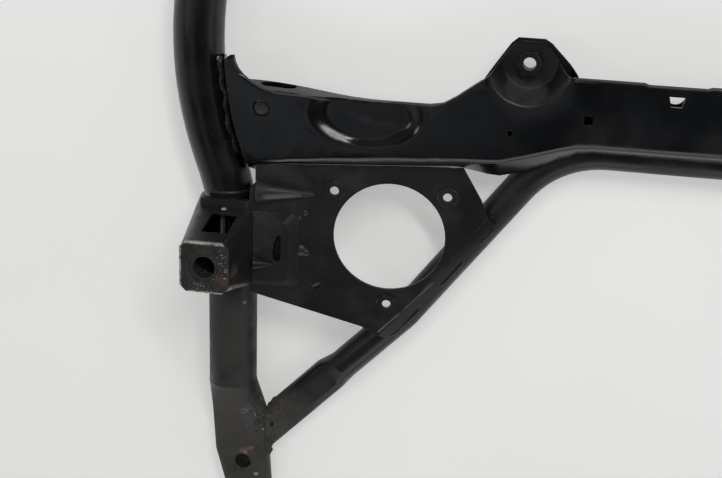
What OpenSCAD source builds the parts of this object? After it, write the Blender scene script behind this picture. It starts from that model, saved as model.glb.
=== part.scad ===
// Welded front subframe: two bent side rails, a two-shell cross member, a bent brace tube and mounts.
// Millimetres, +Z up, +Y towards the front of the vehicle, lying on its underside.

/* [Side rails] */
// outside diameter of the rail tube
rail_od = 50; // [44:1:56]
// wall of the rail tube
rail_wall = 3; // [2:0.5:4]
// rail axis from the middle plane, behind the bends
rail_x = 423; // [380:1:470]
// straight length behind the first bend
rail_low_len = 170; // [150:1:240]
// radius of the outward bend
rail_out_r = 200; // [160:5:260]
// angle of the outward bend
rail_out_angle = 18; // [10:1:24]
// straight length between the bends
rail_mid_len = 24; // [8:1:40]
// radius of the inward bend
rail_in_r = 350; // [300:5:420]
// how far the front end heads inward
rail_front_angle = 12; // [4:1:20]
// straight length in front of the inward bend
rail_front_len = 6; // [4:1:60]

/* [Rail ends] */
// width of the flattened tube
end_w = 60; // [54:1:66]
// width at the tip
end_tip_w = 50; // [44:1:56]
// thickness of the flattened tube
end_h = 28; // [24:1:34]
// length over which the tube is flattened
end_form_len = 40; // [20:1:50]
// length of the flat
end_len = 100; // [80:1:130]
// inward shift of the rear tip
end_toe = 16; // [0:1:24]
// bolt hole in the flat
end_hole_d = 18; // [12:0.5:20]
// bolt hole from the tip
end_hole_back = 42; // [30:1:60]
// wall of the sleeve in the flat
sleeve_wall = 3; // [2:0.5:5]

/* [Brace tube] */
// outside diameter of the brace tube
brace_od = 32; // [28:1:36]
// wall of the brace tube
brace_wall = 2.5; // [2:0.5:4]
// axis of its middle run behind the rear edge of the upper shell's face
brace_back = 14; // [11:0.5:18]
// half length of its middle run
brace_mid_half = 56; // [46:1:64]
// radius of its bends
brace_bend_r = 100; // [80:5:120]
// angle of the main bend
brace_angle = 53.5; // [50:0.5:57]
// straight length of the diagonal
brace_diag_len = 176; // [160:1:190]
// angle of the small bend by the mount plate
brace_kink = 7; // [4:0.5:10]
// straight length behind the small bend
brace_low_len = 84; // [70:1:95]
// width of the flattened end
brace_flat_w = 38; // [34:1:42]
// thickness of the flattened end
brace_flat_h = 20; // [14:1:24]
// length over which the end is flattened
brace_form_len = 20; // [15:1:30]

/* [Cross member] */
// sheet of the pressings
sheet = 2.5; // [2:0.1:3]
// height of the upper shell's face
face_z = 54; // [52:0.5:60]
// front edge at the middle
front_y = 185.5; // [180:0.5:195]
// depth of the shallow notch in the front edge at the middle
notch_depth = 1.5; // [0.5:0.1:3]
// half width of that notch
notch_half = 28; // [20:1:34]
// front edge at the waist between ear and rail
waist_y = 150; // [145:0.5:158]
// where the front edge starts to fall towards the waist
fall_from = 156; // [150:1:172]
// where it reaches the waist
fall_to = 224; // [215:1:240]
// rise of the front edge against the rail
flare_rise = 34; // [20:1:40]
// length of that rise
flare_len = 50; // [40:1:60]
// rear edge of the face at the middle
rear_y = 121; // [118:0.5:125]
// rear edge of the face at the rail
rear_end_y = 77; // [74:0.5:82]
// where the rear edge leaves the brace
rear_turn_x = 70; // [60:1:80]
// where it runs straight to the rail
rear_line_x = 160; // [150:1:175]
// rear edge of the face at that place
rear_line_y = 98; // [95:0.5:102]
// lean of the rolled rear wall
wall_lean = 11; // [8:0.5:14]
// extra lean where the wall flares over the brace bend
wall_flare = 9; // [4:0.5:12]
// bend radius of the rolled rear edge
roll_r = 10; // [6:0.5:12]
// turned-down lip of the front edge
lip = 4; // [3:0.5:6]
// depth of the box under the face
box_depth = 32; // [28:1:36]
// extra depth of the box beside the rail
box_deepen = 16; // [8:1:18]
// front wall of the lower shell behind the waist of the front edge
wall_in = 4.5; // [3:0.5:7]
// front wall of the lower shell behind the front edge at the middle
wall_in_mid = 9; // [6:0.5:14]
// forward run of the front wall towards the rail
wall_run = 7; // [4:0.5:10]
// bend radius of the lower shell
box_r = 7; // [5:0.5:9]

/* [Ears] */
// ear bolt from the middle plane
ear_x = 135; // [120:1:150]
// ear bolt in front of the front edge
ear_out = 8.5; // [6:0.5:12]
// lower shell's rim around the ear
ear_rim = 2; // [1:0.5:4]
// ear rim in front of the front edge
ear_h = 28; // [26:1:32]
// half width of the ear at its rim
ear_top_half = 8; // [6:1:12]
// half width of the ear at its foot
ear_foot_half = 40; // [38:1:44]
// depth of the ear's dish below the face
ear_depth = 18; // [14:1:20]
// radius of the dish floor
ear_floor_r = 25; // [22:1:28]
// radius of the dish at the face
ear_dish_r = 39; // [36:1:42]
// hexagon of the weld nut
nut_af = 21; // [19:0.5:24]
// height of the weld nut
nut_h = 9; // [7:0.5:12]
// bore of the weld nut
nut_bore = 12; // [10:0.5:14]

/* [Cross member openings] */
// oval dent from the middle plane
dent_x = 285; // [276:1:296]
// middle of the dent behind the front edge's waist line
dent_back = 15; // [10:1:22]
// length of the dent
dent_len = 114; // [100:1:120]
// width of the dent, open towards the front edge
dent_w = 66; // [54:1:72]
// depth of the dent
dent_depth = 10; // [5:0.5:11]
// inward sweep of the front edge at the dent
dent_sweep = 5; // [2:0.5:8]
// trapezoid hole at the middle, long side
trap_w = 14; // [10:0.5:18]
// trapezoid hole, short side
trap_w2 = 9.5; // [7:0.5:12]
// trapezoid hole, length
trap_l = 9.5; // [7:0.5:14]
// trapezoid hole behind the front edge
trap_back = 10.5; // [8:0.5:16]
// square hole
square_hole = 8; // [6:0.5:10]
// square hole from the middle plane
square_x = 77; // [65:1:90]
// square hole behind the front edge
square_back = 38.5; // [30:1:45]
// locating hole
locate_d = 5.5; // [4:0.5:8]
// locating hole from the middle plane
locate_x = 148; // [140:1:156]
// locating hole behind the front edge
locate_back = 56; // [50:1:60]
// pressed cup with one flat side, by the rail
cup_d = 18; // [12:0.5:20]
// its flat side in front of its middle
cup_flat = 6.5; // [4:0.5:8]
// its depth
cup_depth = 6; // [3:0.5:8]
// cup from the rail's axis
cup_in = 36; // [30:1:44]
// cup behind the front edge's waist line
cup_back = 15; // [11:1:25]
// slot in the front wall of the lower shell, length
slot_l = 36; // [30:1:40]
// slot, height
slot_h = 19; // [14:0.5:20]
// slot from the middle plane
slot_x = 377; // [370:1:382]

/* [Mount plates] */
// large hole from the middle plane
mount_x = 259; // [250:1:270]
// large hole in front of the first rail bend
mount_y = 11.5; // [5:0.5:15]
// height of the plate's face above the crown of the brace tube, at the large hole
mount_rise = 11.5; // [11:0.5:16]
// tilt, the rail side is higher
mount_tilt = 5; // [4:0.5:7]
// large hole
mount_d = 110; // [96:1:116]
// bolt circle
bolt_circle = 142; // [136:1:150]
// bolt holes
bolt_d = 9; // [7:0.5:11]
// half angle between the two front bolt holes
bolt_spread = 51; // [45:0.5:56]
// raised seat around each bolt hole
seat_d = 20; // [17:0.5:24]
// height of the seats
seat_h = 1.2; // [0.8:0.1:2]
// edge of the plate on the rail, behind the first rail bend
plate_back = 56; // [50:1:62]
// edge of the plate on the rail, in front of that bend
plate_ahead = 54; // [46:1:56]
// tip of the plate along the brace tube, past the small bend
plate_tip = 20; // [14:1:30]
// front inner corner of the plate from the middle plane
plate_in_x = 190; // [186:1:205]
// bead in front of the first rail bend
bead_y = 51; // [46:1:56]
// bead towards the rail, radius at its wide end
bead_r = 12; // [9:0.5:14]
// length of the bead
bead_len = 56; // [45:1:62]
// slanted pocket, length
key_l = 11; // [8:0.5:14]
// slanted pocket, width
key_w = 8; // [6:0.5:10]
// slanted pocket, depth
key_depth = 1.6; // [1:0.1:1.8]
// slanted pocket from the large hole's middle, along the width
key_x = 72; // [68:1:76]
// slanted pocket behind the large hole's middle
key_back = 54; // [48:1:60]
// angle of the slanted pocket
key_angle = 62; // [50:1:75]

/* [Towers] */
// height of the pad's face
tower_h = 128; // [110:1:140]
// pad along the width
pad_w = 48; // [42:1:54]
// pad along the length
pad_l = 51; // [46:1:58]
// clipped corners of the pad
pad_clip = 6; // [4:0.5:9]
// thickness of the pad
pad_t = 4; // [3:0.5:6]
// middle of the pad behind the first rail bend
pad_back = 6; // [0:1:12]
// tower at its foot, along the width
tower_w = 72; // [66:1:76]
// tower at its foot, along the length
tower_l = 94; // [86:1:98]
// shift of the foot against the pad, along the length
tower_shift = 5; // [0:1:8]
// bush outside diameter
bush_od = 31; // [28:1:34]
// bush bore
bush_bore = 22; // [16:0.5:24]
// bush length
bush_l = 24; // [18:1:34]
// end of the bush below the pad's face
bush_sink = 1; // [0.5:0.5:3]
// opening in the front wall of the tower, width
window_w = 26; // [20:1:32]
// opening in the front wall, height
window_h = 40; // [30:1:46]
// length of the foot pressing along the width
foot_w = 38; // [34:1:44]
// length of the foot pressing along the length
foot_l = 78; // [70:1:84]
// height of the foot pressing over the plate
foot_h = 9; // [6:0.5:12]
// stiffening bead on the foot pressing, radius at its wide end
foot_bead_r = 6.5; // [4:0.5:8]
// length of that bead
foot_bead_l = 20; // [16:1:24]
// Width of the foot's hole.
foot_hole_w = 9; // [7:0.5:11]
// Length of the foot's hole.
foot_hole_l = 29; // [24:1:32]

/* [Hidden] */
$fn = 48;
gap = 0.3;
lap = 0.5;
inset = 0.1;
ring_n = 32;
rail_z = rail_od / 2;
brace_z = brace_od / 2;
brace_y = rear_y - brace_back;
brace_clear = 2;
mount_z = brace_od + mount_rise;

// Path of the rail: the inward bend's middle point gives the rail axis beside the cross member.
in_angle = rail_out_angle + rail_front_angle;
bend_x = rail_x + rail_out_r * (1 - cos(rail_out_angle)) + rail_mid_len * sin(rail_out_angle);
bend_y = rail_out_r * sin(rail_out_angle) + rail_mid_len * cos(rail_out_angle);
hub_x = bend_x - rail_in_r * cos(rail_out_angle);
hub_y = bend_y + rail_in_r * sin(rail_out_angle);
function rail_axis(y) = hub_x + sqrt(rail_in_r * rail_in_r - (y - hub_y) * (y - hub_y));
front_x = hub_x + rail_in_r * cos(rail_front_angle) - rail_front_len * sin(rail_front_angle);
front_end_y = hub_y + rail_in_r * sin(rail_front_angle) + rail_front_len * cos(rail_front_angle);
rail_legs = [
  [rail_low_len, rail_out_r, rail_out_angle],
  [rail_mid_len, rail_in_r, -in_angle],
  [rail_front_len, 0, 0]
];
brace_legs = [
  [0, brace_bend_r, brace_angle],
  [brace_diag_len, brace_bend_r, -brace_kink],
  [brace_low_len, 0, 0]
];

// The part is drawn with the first rail bend at y = 0 and then moved so that its box is centred.
tip_back = -rail_low_len - end_form_len - end_len;
tip_front = front_end_y + (end_form_len + end_len) * cos(rail_front_angle)
  + flat_half(end_tip_w, end_h) * sin(rail_front_angle);
y_shift = -(tip_back + tip_front) / 2;

// Smooth step from 0 at a to 1 at b.
function ease(x, a, b) = let (t = min(max((x - a) / (b - a), 0), 1)) t * t * (3 - 2 * t);

// Edges of the upper shell's face over the distance from the middle plane.
function front_edge(x) = front_y
  - notch_depth * (1 - ease(x, notch_half - 1, notch_half + 1))
  - (front_y - waist_y) * ease(x, fall_from, fall_to)
  - dent_sweep * (1 - ease(abs(x - dent_x - dent_len / 12), dent_len / 7, dent_len / 2))
  + flare_rise * (1 - sqrt(1 - pow(min(max((x - flare_from) / flare_len, 0), 1), 2)))
  - tip_round * pow(min(max((x - end_x + tip_run) / tip_run, 0), 1), 3);
rear_ease = 20;
rear_soft = rear_line_x + rear_ease;
function rear_edge(x) = x < rear_line_x
  ? rear_y + (rear_line_y - rear_y) * ease(x, rear_turn_x, rear_soft)
  : let (y0 = rear_y + (rear_line_y - rear_y) * ease(rear_line_x, rear_turn_x, rear_soft))
    y0 + (rear_end_y - y0) * (x - rear_line_x) / (end_x - rear_line_x);
lean_in = 60;
lean_out = 50;
lean_full = rear_line_x - 10;
function lean(x) = wall_lean
  + wall_flare * ease(x, rear_turn_x, rear_turn_x + lean_in) * (1 - ease(x, lean_full, lean_full + lean_out));
// Ends of the cross member: the face ends at end_x, which swings to stay a shoulder away from the rail axis.
shoulder = rail_od / 2 + 9;
end_in = 3;
end_x = rail_x - end_in;
tip_run = 9;
tip_round = 5;
flare_from = end_x - tip_run - flare_len;
swing_run = 90;
swing_from = end_x - swing_run;
flange_w = shoulder - rail_od / 2 - gap;
flange_drop = face_z - rail_z - sheet;
seam_run = 11;
ear_y = front_y + ear_out;
ear_z = face_z - ear_depth;
ear_back_half = 15;
ear_run = 6;
dent_y = waist_y - dent_back;
dent_end = dent_x + dent_len / 2;
dent_floor = 0.6;
// Depth of the oval dent at a place on the face.
function dent_at(x, y) = let (
  u = (x - dent_x) / (dent_len / 2),
  v = (y - dent_y) / (dent_w / 2)
) dent_depth * (1 - ease(sqrt(u * u + v * v), dent_floor, 1));
wall_low_z = brace_od + 3 * gap;
shell_seam_z = face_z - sheet - gap;
box_z = face_z - box_depth;

// Half width and points of a flattened tube section; width and height alike give the round tube.
function flat_half(w, h) = (w - h) / 2 + h / 2 * cos(90 / ring_n * 2);
function flat_ring(w, h) = [
  for (k = [0:ring_n - 1])
    let (a = -90 + (k + 0.5) * 360 / ring_n, side = k < ring_n / 2 ? 1 : -1)
    [side * (w - h) / 2 + h / 2 * cos(a), h / 2 * sin(a)]
];

// Polyhedron between an outer and an inner row of rings; each ring is a list of points.
module loft(outer, inner) {
  n = len(outer[0]);
  m = len(outer);
  pts = concat([for (r = outer) each r], [for (r = inner) each r]);
  function o(j, k) = j * n + k % n;
  function i(j, k) = m * n + j * n + k % n;
  skin = [for (j = [0:m - 2], k = [0:n - 1]) each [
    [o(j, k), o(j + 1, k + 1), o(j + 1, k)],
    [o(j, k), o(j, k + 1), o(j + 1, k + 1)],
    [i(j, k), i(j + 1, k), i(j + 1, k + 1)],
    [i(j, k), i(j + 1, k + 1), i(j, k + 1)]
  ]];
  caps = [for (k = [0:n - 1]) each [
    [o(0, k), i(0, k + 1), o(0, k + 1)],
    [o(0, k), i(0, k), i(0, k + 1)],
    [o(m - 1, k), o(m - 1, k + 1), i(m - 1, k + 1)],
    [o(m - 1, k), i(m - 1, k + 1), i(m - 1, k)]
  ]];
  polyhedron(pts, concat(skin, caps));
}

// Flattened tube end along +Y from a round tube: shift moves its tip sideways.
module flat_end(od, wall, w, h, tip_w, form_len, flat_len, shift) {
  function at(w0, h0, y, dx, low) = [for (p = flat_ring(w0, h0)) [p[0] + dx, y, p[1] + low]];
  drop = (h - od) / 2;
  side = shift * form_len / (form_len + flat_len);
  // The inner edge stays straight from the forming to the tip.
  mid = (side + shift) / 2 - (w - tip_w) / 4;
  // The first rings wrap the end of the round tube.
  round_o = (od + 2 * inset) / cos(180 / ring_n);
  round_i = od - 2 * wall - 2 * inset;
  loft(
    [
      at(round_o, round_o, -lap, 0, 0),
      at(round_o, round_o, 2 * lap, 0, 0),
      at(w, h, form_len, side, drop),
      at(w, h, form_len + flat_len / 2, mid, drop),
      at(tip_w, h, form_len + flat_len, shift, drop)
    ],
    [
      at(round_i, round_i, -lap, 0, 0),
      at(round_i, round_i, 2 * lap, 0, 0),
      at(w - 2 * wall, h - 2 * wall, form_len, side, drop),
      at(w - 2 * wall, h - 2 * wall, form_len + flat_len / 2, mid, drop),
      at(tip_w - 2 * wall, h - 2 * wall, form_len + flat_len, shift, drop)
    ]
  );
}

// Bent tube along +Y: each leg is [straight length, bend radius, bend angle to the right].
module ring_2d(r, wall) {
  difference() {
    circle(r = r);
    if (wall < r) circle(r = r - wall);
  }
}

// A straight laps into the bends at its ends and is a little thinner than they are.
module straight(r, wall, length) {
  translate([0, -lap, 0])
    rotate([-90, 0, 0])
      linear_extrude(length + 2 * lap)
        ring_2d(r - inset, wall < r ? wall - 2 * inset : wall);
}

module tube_run(r, wall, legs, i = 0) {
  leg = legs[i];
  turn = sign(leg[2]);
  a = abs(leg[2]);
  if (leg[0] > 0) straight(r, wall, leg[0]);
  translate([0, leg[0], 0]) {
    if (a > 0)
      rotate([0, turn < 0 ? 180 : 0, 0])
        translate([leg[1], 0, 0])
          rotate([0, 0, 180 - a])
            rotate_extrude(angle = a)
              translate([leg[1], 0])
                ring_2d(r, wall);
    translate([turn * leg[1] * (1 - cos(a)), leg[1] * sin(a), 0])
      rotate([0, 0, -leg[2]])
        if (i + 1 < len(legs))
          tube_run(r, wall, legs, i + 1) children();
        else
          children();
  }
}

// Place of the rear and front end holes of the right rail.
module at_rear_hole() {
  translate([rail_x - end_toe * (1 - end_hole_back / (end_form_len + end_len)), tip_back + end_hole_back, 0])
    children();
}

module at_front_hole() {
  along = end_form_len + end_len - end_hole_back;
  translate([front_x - along * sin(rail_front_angle), front_end_y + along * cos(rail_front_angle), 0])
    children();
}

module rail() {
  difference() {
    translate([rail_x, -rail_low_len, rail_z]) {
      tube_run(rail_od / 2, rail_wall, rail_legs)
        flat_end(rail_od, rail_wall, end_w, end_h, end_tip_w, end_form_len, end_len, 0);
      rotate([0, 0, 180])
        flat_end(rail_od, rail_wall, end_w, end_h, end_tip_w, end_form_len, end_len, end_toe);
    }
    at_rear_hole() translate([0, 0, -1]) cylinder(d = end_hole_d, h = rail_od);
    at_front_hole() translate([0, 0, -1]) cylinder(d = end_hole_d, h = rail_od);
  }
}

module end_sleeve() {
  clear = 0.1;
  difference() {
    translate([0, 0, rail_wall + clear])
      cylinder(d = end_hole_d + 2 * sleeve_wall, h = end_h - 2 * rail_wall - 2 * clear);
    cylinder(d = end_hole_d, h = rail_od);
  }
}

module brace_half() {
  cut_front = brace_flat_w / 4 - rail_low_len;
  cut_back = tip_back - end_w;
  tip_in_x = rail_x - flat_half(end_tip_w, end_h) - end_toe - gap;
  difference() {
    translate([brace_mid_half, brace_y, brace_z])
      rotate([0, 0, -90])
        tube_run(brace_od / 2, brace_wall, brace_legs)
          flat_end(brace_od, brace_wall, brace_flat_w, brace_flat_h, brace_flat_w, brace_form_len,
            brace_flat_len, 0);
    // Cut along the inner edge of the flattened rail end.
    translate([0, 0, -1])
      linear_extrude(rail_od)
        polygon([
          [rail_x - end_w / 2 + gap, cut_front],
          [rail_x - end_w / 2 - side_toe() - gap, -rail_low_len - end_form_len],
          [tip_in_x, tip_back],
          [tip_in_x, cut_back],
          [rail_x + end_w, cut_back],
          [rail_x + end_w, cut_front]
        ]);
  }
}
function side_toe() = end_toe * end_form_len / (end_form_len + end_len);

// Pressed sheet: two grids of points, one for each side of the sheet.
module pressed(a, b) {
  m = len(a);
  n = len(a[0]);
  pts = concat([for (r = a) each r], [for (r = b) each r]);
  function o(j, k) = j * n + k;
  function i(j, k) = m * n + j * n + k;
  skins = [for (j = [0:m - 2], k = [0:n - 2]) each [
    [o(j, k), o(j, k + 1), o(j + 1, k + 1)],
    [o(j, k), o(j + 1, k + 1), o(j + 1, k)],
    [i(j, k), i(j + 1, k + 1), i(j, k + 1)],
    [i(j, k), i(j + 1, k), i(j + 1, k + 1)]
  ]];
  long_edges = [for (j = [0:m - 2]) each [
    [o(j, 0), o(j + 1, 0), i(j + 1, 0)],
    [o(j, 0), i(j + 1, 0), i(j, 0)],
    [o(j, n - 1), i(j + 1, n - 1), o(j + 1, n - 1)],
    [o(j, n - 1), i(j, n - 1), i(j + 1, n - 1)]
  ]];
  end_edges = [for (k = [0:n - 2]) each [
    [o(0, k), i(0, k + 1), o(0, k + 1)],
    [o(0, k), i(0, k), i(0, k + 1)],
    [o(m - 1, k), o(m - 1, k + 1), i(m - 1, k + 1)],
    [o(m - 1, k), i(m - 1, k + 1), i(m - 1, k)]
  ]];
  polyhedron(pts, concat(skins, long_edges, end_edges));
}

function mirrored(list) = concat([for (i = [len(list) - 1:-1:1]) -list[i]], list);

// Stations of the shells over the distance from the middle plane, the last ones over the rail's shoulder.
half_stations = concat(
  [0, notch_half - 2, notch_half + 2, 50, rear_turn_x],
  [for (x = [rear_turn_x + 15:16:fall_from - 8]) x],
  [for (x = [fall_from:11:dent_x - dent_len / 2 - 6]) x],
  [for (k = [-8:8]) dent_x + k * dent_len / 16],
  [for (f = [1, 2]) dent_end + f * (flare_from - dent_end) / 3],
  [for (f = [0, 0.25, 0.5, 0.7, 0.84, 0.93, 0.98, 1]) flare_from + flare_len * f],
  [end_x - tip_run / 2, end_x - tip_run / 5, end_x]
);
face_rows = [0, 0.12, 0.19, 0.25, 0.31, 0.37, 0.44, 0.54, 0.68, 0.84, 1];

// Upper shell: section rows from the rolled rear wall over the face to the turned-down front lip.
// Each row holds y, z and the angle of the sheet's normal.
function upper_rows(x) = let (
  yr = rear_edge(x),
  yf = front_edge(x),
  w = lean(x),
  turn = atan2(face_z - wall_low_z, w),
  t = roll_r * tan(turn / 2),
  sink = dent_at(x, yf)
) concat(
  [
    [yr - w, wall_low_z, turn],
    [yr - t * cos(turn), face_z - t * sin(turn), turn],
    [yr + t - roll_r * sin(turn / 2), face_z - roll_r * (1 - cos(turn / 2)), turn / 2]
  ],
  [for (f = face_rows) let (y = yr + t + f * (yf - lip - yr - t)) [y, face_z - dent_at(x, y), 0]],
  [
    [yf - lip * (1 - sin(45)), face_z - sink - lip * (1 - cos(45)), -45],
    [yf, face_z - sink - lip, -90]
  ]
);
// Near the rail the rows swing parallel to it; past end_x the sheet turns down to the rail's side.
function rail_lean(y) = asin((hub_y - y) / rail_in_r);
function swing(x, y, off) = let (
  past = max(abs(x) - end_x, 0),
  aim = rail_axis(y) - (off - past) / cos(rail_lean(y)) - past
) sign(x) * (abs(x) + ease(abs(x), swing_from, end_x) * (aim - end_x));
module upper_sheet() {
  stations = mirrored(concat(half_stations, [for (k = [1:4]) end_x + k * flange_w / 4]));
  function row(x, side) =
    let (
      f = ease(abs(x), end_x, end_x + flange_w),
      off = shoulder + side * sheet * sin(180 * f)
    ) [
      for (p = upper_rows(min(abs(x), end_x)))
        let (a = p[2] * (1 - f), z = p[1] + (face_z - p[1]) * f - flange_drop * f)
        [swing(x, p[0], off), p[0] + side * sheet * sin(a), z - side * sheet * cos(a)]
    ];
  pressed([for (x = stations) row(x, 0)], [for (x = stations) row(x, 1)]);
}

// Outline of the upper shell's ear, from its front rim back past its dish.
function bell(d) = abs(d) < ear_top_half ? 1
  : abs(d) > ear_foot_half ? 0
  : (1 + cos(180 * (abs(d) - ear_top_half) / (ear_foot_half - ear_top_half))) / 2;
module ear_2d() {
  reach = ear_dish_r + ear_run;
  rim = [for (d = [-reach:3:reach]) [ear_x + d, front_edge(ear_x + d) + ear_h * bell(d)]];
  polygon(concat(rim, [[ear_x + reach, ear_y - 2 * ear_dish_r], [ear_x - reach, ear_y - 2 * ear_dish_r]]));
}
module ear() {
  intersection() {
    linear_extrude(face_z + 1) ear_2d();
    translate([ear_x, ear_y, 0])
      rotate_extrude()
        polygon([
          [0, ear_z], [ear_floor_r - 2, ear_z], [ear_floor_r + 1, ear_z + 1.2],
          [ear_dish_r - 2, face_z - 1.6], [ear_dish_r + 1, face_z], [ear_dish_r + 5, face_z],
          [ear_dish_r + 5, face_z - sheet], [ear_dish_r + 2.4, face_z - sheet],
          [ear_dish_r, face_z - sheet - 1.2], [ear_floor_r + 2.4, ear_z - sheet + 1.2],
          [ear_floor_r, ear_z - sheet], [0, ear_z - sheet]
        ]);
  }
}

module both() {
  children();
  mirror([1, 0, 0]) children();
}

// Bowl with one flat side that is pressed into the face; grow gives its outer side, up to height top.
module cup(grow, top) {
  r = cup_d / 2 + grow;
  low = face_z - cup_depth - grow;
  translate([rail_x - cup_in, waist_y - cup_back, 0])
    intersection() {
      rotate_extrude()
        polygon([
          [0, low], [0.5 * r, low], [0.8 * r, low + 0.3 * cup_depth],
          [r, face_z - 0.3 * cup_depth], [r, top], [0, top]
        ]);
      translate([-2 * r, -2 * r, 0]) cube([4 * r, 2 * r + cup_flat + grow, 2 * face_z]);
    }
}

module shell_holes() {
  hole_z = box_z + 2 * sheet + 1;
  both() {
    translate([ear_x, ear_y, 0]) cylinder(d = nut_bore + 1, h = face_z);
    translate([locate_x, front_y - locate_back, hole_z]) cylinder(d = locate_d, h = box_depth);
    translate([square_x - square_hole / 2, front_y - square_back - square_hole / 2, hole_z])
      cube([square_hole, square_hole, box_depth]);
    cup(0, face_z + 1);
  }
  translate([0, front_y - trap_back, 0])
    linear_extrude(face_z + 1)
      polygon([[-trap_w / 2, 0], [trap_w / 2, 0], [trap_w2 / 2, -trap_l], [-trap_w2 / 2, -trap_l]]);
}

module upper_pressing() {
  difference() {
    union() {
      difference() {
        upper_sheet();
        both() translate([ear_x, ear_y, box_z]) cylinder(r = ear_dish_r + 3, h = box_depth + 1);
      }
      both() {
        ear();
        cup(sheet / 2, face_z - sheet / 2);
      }
    }
    shell_holes();
  }
}

// Lower shell: a channel under the face with a flange that carries the back of each ear.
ear_back_z = ear_z - sheet - gap;
ear_reach = ear_dish_r + 11;
function ear_back(x) = front_y + ear_h + ear_rim
  - max(0, 1.5 * (x - ear_x - ear_back_half), ear_x - ear_back_half - x);
function in_ear(x) = ease(x, ear_x - ear_reach, ear_x - ear_reach + 12)
  * (1 - ease(x, ear_x + ear_reach - 16, ear_x + ear_reach - 6));
// Its front wall stands below the lip of the upper shell and is deeper beside the rail.
wall_y = waist_y - wall_in;
function box_front(x) = wall_y + wall_run * ease(x, dent_x, dent_x + dent_len)
  + (front_y - wall_in_mid - wall_y) * (1 - ease(x, fall_from - 26, fall_to + 6));
function box_low(x) = box_z - box_deepen * ease(x, dent_x - 20, dent_x + dent_len);
// Its walls fall under the turned-down ends of the upper shell.
function end_fall(x) = (flange_drop + 2 * sheet) * ease(x, end_x - seam_run, end_x);
function seam_z(x) = let (
  under_lip = face_z - lip - gap - dent_at(x, front_edge(x)),
  by_rail = under_lip - end_fall(x)
) by_rail + (ear_back_z - by_rail) * in_ear(x);
function lower_rows(x, side) = let (
  edge = box_front(x),
  flange_y = max(edge + 0.5, abs(x - ear_x) < ear_reach ? ear_back(x) : 0),
  front_wall = edge - side * sheet,
  rear_wall = rear_edge(x) + brace_od / 2 - brace_back + brace_clear + side * sheet,
  r = box_r - side * sheet,
  low = box_low(x) + side * sheet,
  top = seam_z(x) - (1 - side) * sheet,
  k = r * (1 - cos(45))
) [
  [flange_y, top], [front_wall, top],
  [front_wall, low + r], [front_wall - k, low + k], [front_wall - r, low],
  [rear_wall + r, low], [rear_wall + k, low + k], [rear_wall, low + r],
  [rear_wall, shell_seam_z - end_fall(x)]
];
module lower_pressing() {
  stations = mirrored(concat(
    [0, notch_half - 2, notch_half + 2, 55, 70],
    [for (k = [0:16]) ear_x + ear_reach * (k / 8 - 1)],
    [for (x = [ear_x + ear_reach + 6:12:dent_x - dent_len / 2]) x],
    [for (x = [dent_x - dent_len / 2 + 4:14:dent_x + dent_len / 2 + 4]) x],
    [(dent_end + flare_from) / 2],
    [for (f = [0, 0.3, 0.6, 0.8, 0.92]) flare_from + flare_len * f],
    [for (k = [0:5]) end_x - seam_run * (1 - k / 5)]
  ));
  off = rail_od / 2 + 2 * gap;
  function row(x, side) = [for (p = lower_rows(abs(x), side)) [swing(x, p[0], off), p[0], p[1]]];
  difference() {
    pressed([for (x = stations) row(x, 1)], [for (x = stations) row(x, 0)]);
    both() {
      translate([ear_x, ear_y, 0]) cylinder(d = nut_bore + 1, h = face_z);
      // Slot in the front wall.
      translate([slot_x, wall_y - slot_l, box_low(slot_x) + box_r + slot_h / 2 + 1])
        rotate([-90, 0, 0])
          linear_extrude(2 * slot_l)
            polygon(flat_ring(slot_l, slot_h));
    }
    translate([0, front_y - trap_back - trap_l / 2, 0]) cylinder(d = trap_w + 4, h = box_z + box_r);
  }
}

module ear_nut() {
  translate([ear_x, ear_y, ear_z])
    difference() {
      cylinder(r = nut_af / 2 / cos(30), h = nut_h, $fn = 6);
      translate([0, 0, -1]) cylinder(d = nut_bore, h = nut_h + 2);
    }
}

// Mount plate: lies on the brace tube and on the rail side, with a skirt down to the tube.
diag_x = brace_mid_half + brace_bend_r * sin(brace_angle);
diag_y = brace_y - brace_bend_r * (1 - cos(brace_angle));
kink_x = diag_x + brace_diag_len * cos(brace_angle);
kink_y = diag_y - brace_diag_len * sin(brace_angle);
low_angle = brace_angle - brace_kink;
low_x = kink_x + brace_bend_r * (sin(brace_angle) - sin(low_angle));
low_y = kink_y - brace_bend_r * (cos(low_angle) - cos(brace_angle));
// Long enough to pass the inner edge of the rail, where it is cut.
brace_flat_len = (rail_x - low_x) / cos(low_angle) - brace_low_len - brace_form_len;
// Points beside the brace axis: s along the tube, off towards the rail.
function by_diag(s, off) = [
  diag_x + s * cos(brace_angle) + off * sin(brace_angle),
  diag_y - s * sin(brace_angle) + off * cos(brace_angle)
];
function by_low(s, off) = [
  low_x + s * cos(low_angle) + off * sin(low_angle),
  low_y - s * sin(low_angle) + off * cos(low_angle)
];
function plate_z(x) = mount_z + (x - mount_x) * tan(mount_tilt);
// Rear wall of the upper shell at the height of the plate's underside.
function plate_front(x) = rear_edge(x) - gap
  - lean(x) * (face_z - plate_z(x) + sheet) / (face_z - wall_low_z);
rail_side = rail_x - rail_od / 2 - gap;
plate_out = rail_side - sheet;
plate_edge = rail_side - gap;
plate_lap = 5;
// Corners of the plate: clipped beside the shell, square at the tip, and where the skirt starts.
corner_w = 21;
corner_l = 10;
corner_in = 5.5;
tip_w = 24;
skirt_from = 40;
// Lower edge of the flange down the rail's side.
side_z = rail_z - 6;

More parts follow.
